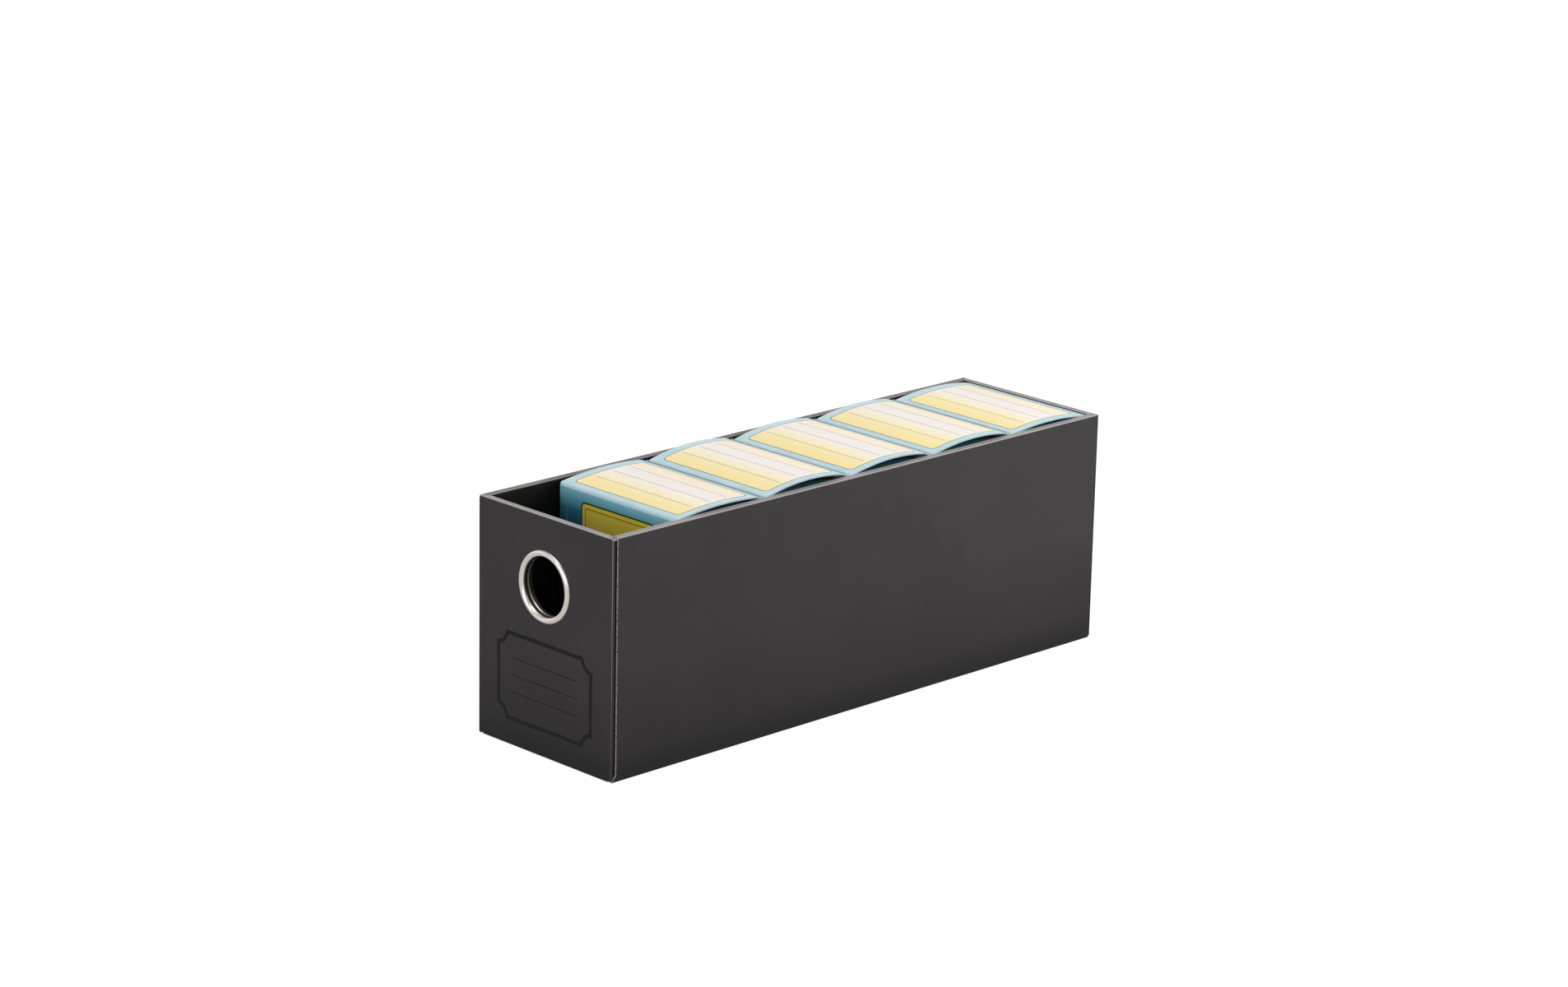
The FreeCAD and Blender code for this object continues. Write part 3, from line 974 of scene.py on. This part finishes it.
def card_stack(number, chance):
    """Sleeved cards: each a card between a coloured back film and a clear front film."""
    low, high = sides_of(f"carton_{number}_card_stack")
    centre = (low[0] + high[0]) / 2
    pitch = (high[1] - low[1]) / CARDS
    card = rounded_outline(CARD_SIZE[0] / 2, CARD_SIZE[1] / 2, CARD_ROUND)
    film = rounded_outline(FILM_SIZE[0] / 2, FILM_SIZE[1] / 2, FILM_ROUND, 2)
    points, faces, kinds = [], [], []

    def slab(outline, x, y, z, thickness, kind):
        first = len(points)
        count = len(outline)
        for depth in (0, thickness):
            points.extend((x + a, y + depth, z + b) for a, b in outline)
        faces.append([first + k for k in range(count)])
        faces.append([first + count + k for k in reversed(range(count))])
        kinds.extend([kind, kind])
        for k in range(count):
            after = (k + 1) % count
            faces.append([first + after, first + k, first + count + k, first + count + after])
            kinds.append(kind)

    for k in range(CARDS):
        y = low[1] + k * pitch
        x = centre + chance.uniform(-0.5, 0.5)
        lift = chance.uniform(0, 0.35)
        z = low[2] + FILM_SIZE[1] / 2 + lift
        slab(film, x, y + 0.02, z, FILM, 2)
        slab(card, x, y + CARD_DEPTH, low[2] + CARD_LIFT + CARD_SIZE[1] / 2 + lift, CARD_SIZE[2], 1)
        slab(film, x, y + pitch - FILM - 0.03, z, FILM, 0)
    name = f"carton_{number}_sleeved_cards"
    body = f"carton_{number}"
    surfaces = [SLEEVE_BACK, CARD_PAPER, SLEEVE_FRONT]
    stack = add_piece(name, points, faces, surfaces, kinds, body, smooth=False)
    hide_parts(f"carton_{number}_card_stack")


def ticket(centre, half, scoop, inset, steps=8):
    """Outline of a label with scooped corners, drawn in by inset."""
    points = []
    bite = scoop + inset
    for sx, sz in ((1, 1), (-1, 1), (-1, -1), (1, -1)):
        reach = math.asin(inset / bite)
        turn = np.linspace(reach, math.pi / 2 - reach, steps)
        if sx * sz > 0:
            turn = math.pi / 2 - turn
        for a in turn:
            x = half[0] - bite * math.cos(a)
            z = half[1] - bite * math.sin(a)
            points.append((centre[0] + sx * x, centre[1] + sz * z))
    return points


def label_frame():
    """Ticket-shaped writing label with three rules, printed on the front in dark ink."""
    face = -TRAY_HALF_LENGTH
    points, faces = [], []

    def strip(outer, inner, closed):
        first, count = len(points), len(outer)
        for y in (face - INK, face + INK):
            points.extend((x, y, z) for x, z in outer)
            points.extend((x, y, z) for x, z in inner)
        for k in range(count if closed else count - 1):
            after = (k + 1) % count
            a, b = first + k, first + after
            c, d = b + count, a + count
            deep = 2 * count
            faces.extend([[a, b, c, d], [d + deep, c + deep, b + deep, a + deep]])
            faces.extend([[b, a, a + deep, b + deep], [d, c, c + deep, d + deep]])
        if not closed:
            for k in (0, count - 1):
                a, d = first + k, first + k + count
                ends = [a, d, d + 2 * count, a + 2 * count]
                faces.append(ends if k == 0 else ends[::-1])

    outline, inline = [ticket(LABEL_FRAME, LABEL_FRAME_HALF, LABEL_SCOOP, into) for into in (0, LABEL_LINE)]
    strip(outline, inline, True)
    long, thick = LABEL_RULE_HALF
    for z in LABEL_RULES:
        strip([(-long, z + thick), (long, z + thick)], [(-long, z - thick), (long, z - thick)], False)
    kinds = [0] * len(faces)
    add_piece("front_label_frame", points, faces, [LABEL_INK], kinds, "tray", smooth=False)


def rim_pleat(side, label):
    """Turned-in tab of laminate that closes a front corner between the two rims."""
    near, far = TRAY_HALF_LENGTH - 0.05, TRAY_HALF_LENGTH - SIDE_RIM_START + 0.1
    plan = [(40.6, near), (41.15, near - 0.25), (41.4, near - 0.9), (41.4, far), (38.75, far)]
    centre = (40.7, TRAY_HALF_LENGTH - 1.6)
    points = []
    for drop, shrink in ((0.9, 1.0), (0.3, 1.0), (0.12, 0.9), (0.05, 0.7)):
        for x, y in plan:
            x = centre[0] + (x - centre[0]) * shrink
            y = centre[1] + (y - centre[1]) * shrink
            points.append((side * x, -y, TRAY_HEIGHT - drop))
    count = len(plan)
    faces = [list(range(count)), list(range(3 * count, 4 * count))[::-1]]
    for ring in range(3):
        for k in range(count):
            after = (k + 1) % count
            a, b = ring * count + k, ring * count + after
            faces.append([a, a + count, b + count, b])
    if side < 0:
        faces = [face[::-1] for face in faces]
    name = f"front_{label}_rim_pleat"
    # The tab takes the front rim's painted sheen.
    add_piece(name, points, faces, [RIMS["front_wall"]], [0] * len(faces), "tray")


def dress_tray():
    """Laminate on the tray's faces, and bare board on its cut ends."""
    for name in ("right_wall", "left_wall", "front_wall", "rear_wall"):
        node = frame["nodes"][name]
        node.data.materials.clear()
        for surface in (LAMINATE, RAW_BOARD, RIMS[name], INSIDE_SHADED_LINING, CORNER_FOLD):
            node.data.materials.append(surface.material)
        for face in node.data.polygons:
            face.material_index = wall_face_kind(name, face)
    set_surface("bottom_panel", LAMINATE)
    # Painted shade: the floor liner and the corner flaps take the dark inside colour.
    set_surface("floor_liner", INSIDE_SHADED_LINING)
    for end in ("front", "rear"):
        for side in ("left", "right"):
            set_surface(f"{end}_{side}_corner_flap", INSIDE_SHADED_LINING)


def wall_face_kind(name, face):
    """0 for laminate, 1 for a cut end, 2 for the rim's top with its painted sheen, 3 for the inside with
    its painted shade, 4 for a corner's fold with its painted highlight.
    """
    x, y, z = (c / MM for c in face.center)
    if z > TRAY_HEIGHT - 0.4 and face.normal.z > 0.5:
        return 2
    if name in ("front_wall", "rear_wall"):
        if abs(x) > TRAY_HALF_WIDTH - 1 and y * face.normal.y > 0.15 and abs(face.normal.x) > 0.3:
            return 4
        inward = face.normal.y * y < 0 and abs(face.normal.y) > 0.5
        return 3 if inward and abs(y) < TRAY_HALF_LENGTH - TRAY_BOARD - 1 else 0
    if abs(x) > TRAY_HALF_WIDTH - TRAY_BOARD - 0.02:
        return 1 if abs(face.normal.y) > 0.35 and abs(y) > SIDE_SHEET_END - 0.1 else 0
    return 3 if face.normal.x * x < 0 and abs(face.normal.x) > 0.5 else 0


def set_surface(name, surface):
    data = frame["nodes"][name].data
    data.materials.clear()
    data.materials.append(surface.material)


dress_tray()
rim_pleat(1, "right")
rim_pleat(-1, "left")
label_frame()
finger_ring()
body_low, body_high = sides_of("carton_1_body")
PANELS = print_panels((body_high[0] - body_low[0]) / 2, body_high[1] - body_low[1])
BODY_PRINT = body_print(PANELS)
chance = random.Random(SEED)
for number in range(1, CARTONS + 1):
    carton_shell(number, BODY_PRINT)
    carton_lid(number)
    hinge_crease(number)
    dust_flap(number, -1, "left")
    dust_flap(number, 1, "right")
    card_stack(number, chance)


# Studio, in metres

CAMERA_PLACE = (1.29103, -1.27926, 0.62594)
CAMERA_AIM = (-0.01117, 0.00179, 0.08303)
CAMERA_LENS = 101.4336
CAMERA_ROLL = 1.2264


def background_rays(tree):
    """Numbers that are 1 where the camera, and where metal or glass, sees the background."""
    paths = tree.nodes.new("ShaderNodeLightPath")
    glossy = Number(tree, paths.outputs["Is Glossy Ray"])
    through = Number(tree, paths.outputs["Is Transmission Ray"])
    return Number(tree, paths.outputs["Is Camera Ray"]), glossy.most(through)


def add_floor_stage():
    """Plain pale floor, which takes the object's shadow."""
    mesh = bpy.data.meshes.new("studio_floor")
    size = 8.0
    corners = [(-size, -size, 0), (size, -size, 0), (size, size, 0), (-size, size, 0)]
    mesh.from_pydata(corners, [], [(0, 1, 2, 3)])
    floor = bpy.data.objects.new("studio_floor", mesh)
    bpy.context.scene.collection.objects.link(floor)
    floor.location.z = -0.0003
    material = bpy.data.materials.new("studio_floor")
    material.use_nodes = True
    tree = material.node_tree
    tree.nodes.clear()
    seen, mirrored = background_rays(tree)
    diffuse = tree.nodes.new("ShaderNodeBsdfDiffuse")
    diffuse.inputs["Color"].default_value = (0.35, 0.35, 0.35, 1)
    glow = tree.nodes.new("ShaderNodeEmission")
    tree.links.new((seen * 0.86 + mirrored * 0.35).socket, glow.inputs["Strength"])
    total = tree.nodes.new("ShaderNodeAddShader")
    out = tree.nodes.new("ShaderNodeOutputMaterial")
    tree.links.new(diffuse.outputs[0], total.inputs[0])
    tree.links.new(glow.outputs[0], total.inputs[1])
    tree.links.new(total.outputs[0], out.inputs[0])
    mesh.materials.append(material)


def add_world():
    """Pale surroundings, brighter where the camera looks and low down where metal mirrors them."""
    world = bpy.data.worlds.new("studio")
    bpy.context.scene.world = world
    world.use_nodes = True
    tree = world.node_tree
    background = tree.nodes["Background"]
    seen, mirrored = background_rays(tree)
    direction = tree.nodes.new("ShaderNodeTexCoord")
    parts = tree.nodes.new("ShaderNodeSeparateXYZ")
    tree.links.new(direction.outputs["Generated"], parts.inputs[0])
    low = Number(tree, parts.outputs[2]).ramp(0.75, 0.35)
    strength = seen * 0.6 + mirrored * low * 0.6 + 0.4
    tree.links.new(strength.socket, background.inputs["Strength"])
    background.inputs["Color"].default_value = (1, 1, 1, 1)


def add_lamp(name, place, aim, size, power):
    lamp = bpy.data.lights.new(name, "AREA")
    lamp.shape = "RECTANGLE"
    lamp.size, lamp.size_y = size
    lamp.energy = power
    piece = bpy.data.objects.new(name, lamp)
    bpy.context.scene.collection.objects.link(piece)
    piece.location = place
    direction = Vector(aim) - Vector(place)
    piece.rotation_euler = direction.to_track_quat("-Z", "Y").to_euler()


def add_camera():
    """The photograph's viewpoint, solved from the drawer's corners and edges."""
    data = bpy.data.cameras.new("camera")
    data.sensor_width = 36.0
    data.lens = CAMERA_LENS
    camera = bpy.data.objects.new("camera", data)
    bpy.context.scene.collection.objects.link(camera)
    place = Vector(CAMERA_PLACE)
    look = (Vector(CAMERA_AIM) - place).to_track_quat("-Z", "Y").to_matrix().to_4x4()
    roll = Matrix.Rotation(math.radians(CAMERA_ROLL), 4, "Z")
    camera.matrix_world = Matrix.Translation(place) @ look @ roll
    bpy.context.scene.camera = camera


add_floor_stage()
add_world()
add_lamp("overhead_softbox", (0.05, -0.05, 1.1), (0.0, 0.0, 0), (1.0, 1.0), 5.3)
add_lamp("right_softbox", (0.42, 0.3, 0.25), (0.04, 0.05, 0.08), (0.3, 0.3), 1.7)
add_lamp("front_softbox", (0.15, -1.0, 0.4), (0, -0.1, 0.06), (0.8, 0.5), 3.0)
add_camera()
bpy.context.scene.view_settings.view_transform = "Standard"
